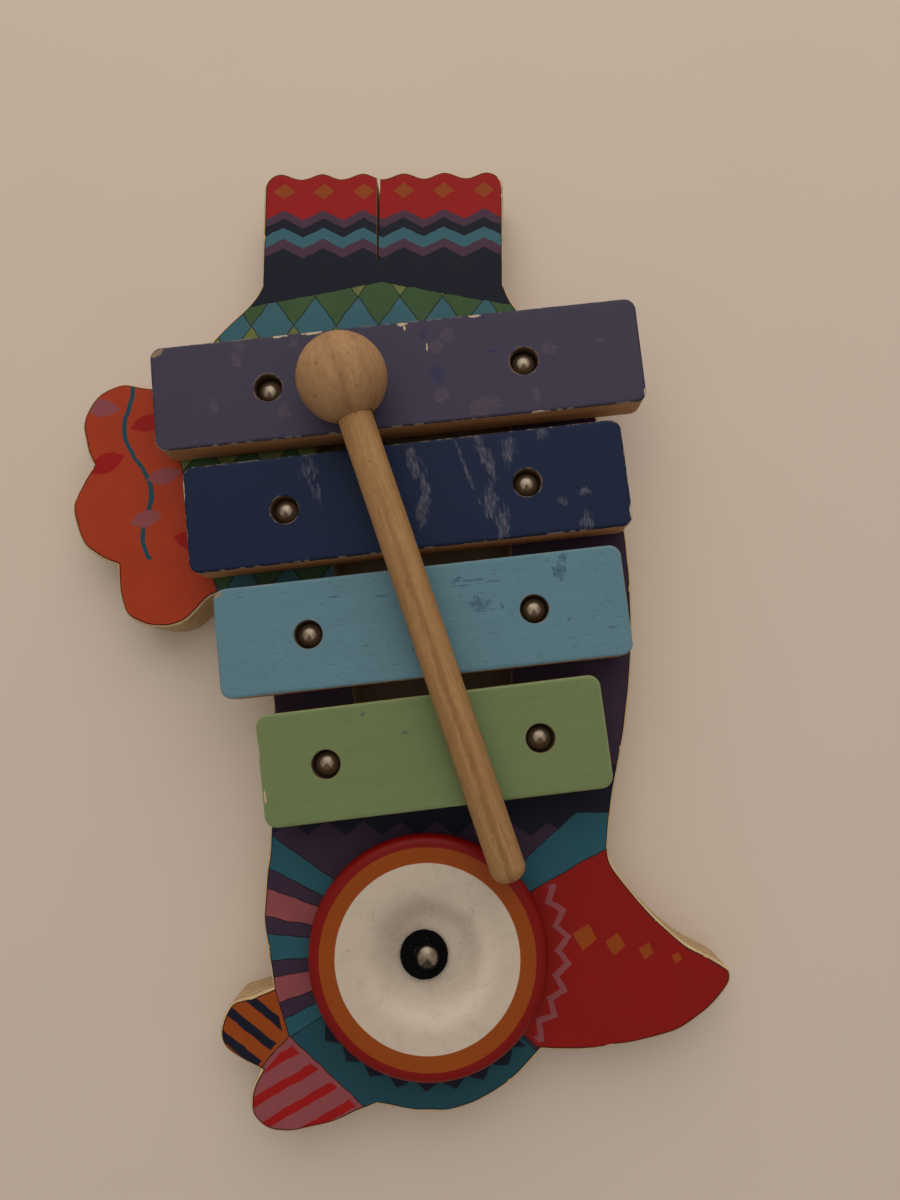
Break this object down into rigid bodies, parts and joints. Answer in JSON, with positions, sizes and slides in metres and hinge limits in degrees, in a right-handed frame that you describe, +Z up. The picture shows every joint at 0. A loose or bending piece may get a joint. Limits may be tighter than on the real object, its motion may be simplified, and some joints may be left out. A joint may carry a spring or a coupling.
{
  "type": "toy xylophone",
  "caption": "Toy xylophone on a bird-shaped wooden board, with painted wooden bars nailed over a resonator pocket, a dished cymbal and a loose wooden mallet.",
  "frame": {"origin": "middle of the board's outline, on its flat back", "axes": "+Z up out of the playing side, +Y towards the bird's tail, +X towards its beak"},
  "size_m": [0.1996, 0.2934, 0.0597],
  "materials": {
    "board_paint": "printed and painted plywood with natural edges",
    "violet_paint": "satin violet paint on top, natural wood sides, scuffed",
    "navy_paint": "satin navy paint on top, natural wood sides, scratched",
    "sky_paint": "satin sky-blue paint on top, natural wood sides, scuffed",
    "green_paint": "satin green paint on top, natural wood sides",
    "cymbal_paint": "gloss white paint with an orange ring and a red rim",
    "mallet_wood": "unpainted turned hardwood",
    "nail_steel": "polished domed steel",
    "black_felt": "matt black felt"
  },
  "bodies": {
    "board": {"body_board": "board_paint", "nail_violet_left": "nail_steel", "nail_violet_right": "nail_steel", "nail_navy_left": "nail_steel", "nail_navy_right": "nail_steel", "nail_sky_left": "nail_steel", "nail_sky_right": "nail_steel", "nail_green_left": "nail_steel", "nail_green_right": "nail_steel", "washer_violet_left": "black_felt", "washer_violet_right": "black_felt", "washer_navy_left": "black_felt", "washer_navy_right": "black_felt", "washer_sky_left": "black_felt", "washer_sky_right": "black_felt", "washer_green_left": "black_felt", "washer_green_right": "black_felt", "cymbal_nail": "nail_steel", "cymbal_bottom_felt": "black_felt", "cymbal_top_felt": "black_felt"},
    "violet_bar": {"bar_violet": "violet_paint"},
    "navy_bar": {"bar_navy": "navy_paint"},
    "sky_bar": {"bar_sky": "sky_paint"},
    "green_bar": {"bar_green": "green_paint"},
    "cymbal_dish": {"cymbal": "cymbal_paint"},
    "mallet": {"mallet_head": "mallet_wood", "mallet_handle": "mallet_wood"}
  },
  "joints": [
    {"name": "violet_bar_play", "type": "slide", "parent": "board", "child": "violet_bar", "axis": [0, 0, 1], "range_m": [0, 0.00025]},
    {"name": "navy_bar_play", "type": "slide", "parent": "board", "child": "navy_bar", "axis": [0, 0, 1], "range_m": [0, 0.00025]},
    {"name": "sky_bar_play", "type": "slide", "parent": "board", "child": "sky_bar", "axis": [0, 0, 1], "range_m": [0, 0.00025]},
    {"name": "green_bar_play", "type": "slide", "parent": "board", "child": "green_bar", "axis": [0, 0, 1], "range_m": [0, 0.00025]},
    {"name": "cymbal_spin", "type": "hinge", "parent": "board", "child": "cymbal_dish", "pos_m": [0.01218, -0.09535, 0.0216], "axis": [0, 0, 1], "continuous": true},
    {"name": "mallet_lift", "type": "slide", "parent": "board", "child": "mallet", "axis": [0, 0, 1], "range_m": [0, 0.12]}
  ]
}
